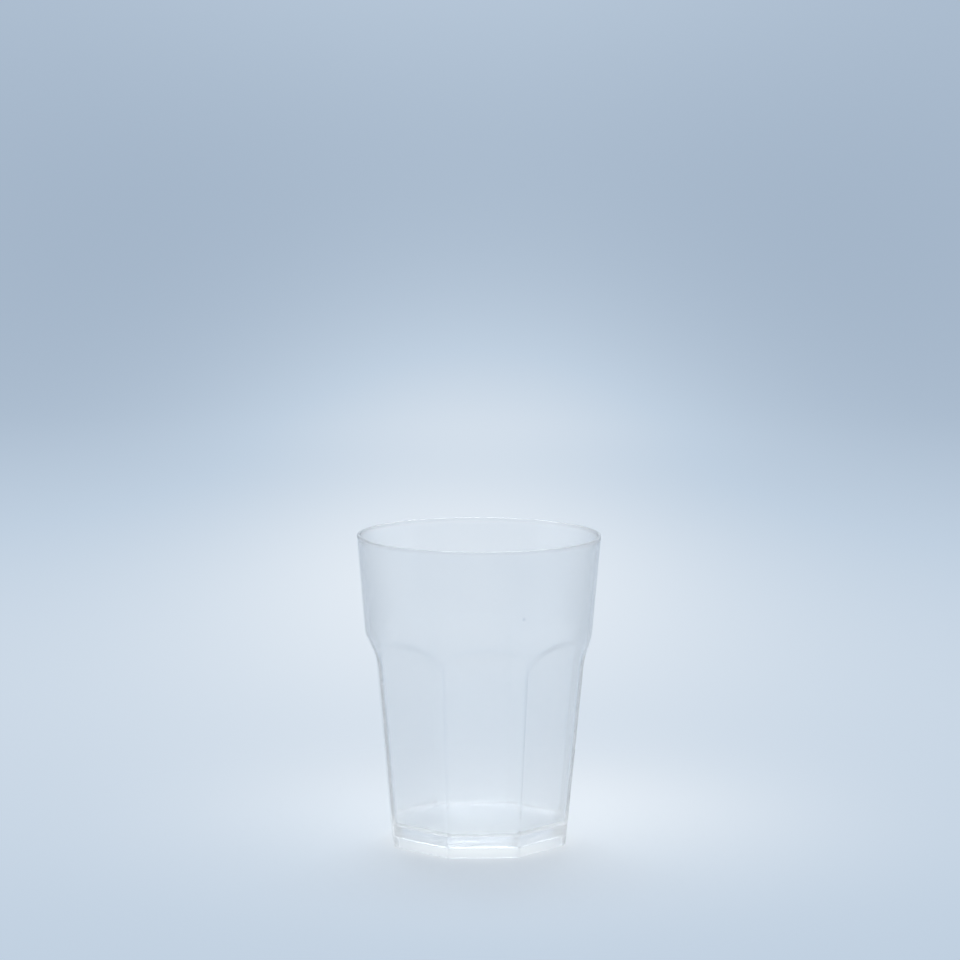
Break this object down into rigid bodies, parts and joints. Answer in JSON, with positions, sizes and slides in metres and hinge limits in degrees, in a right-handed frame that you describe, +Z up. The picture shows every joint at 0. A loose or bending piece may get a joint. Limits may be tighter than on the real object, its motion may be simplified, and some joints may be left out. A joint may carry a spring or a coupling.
{
  "type": "plastic tumbler cup",
  "caption": "Plastic tumbler with a round upper band and flat lower panels that end in arches, standing on an open faceted foot.",
  "frame": {"origin": "on the table, in the middle of the foot", "axes": "+Z up along the cup's axis, out of the mouth; +X and +Y each out through the middle of a flat panel"},
  "size_m": [0.085, 0.0848, 0.1082],
  "materials": {
    "polypropylene": "translucent natural polypropylene with a smooth satin skin"
  },
  "bodies": {
    "root": {"tumbler": "polypropylene"}
  },
  "joints": []
}
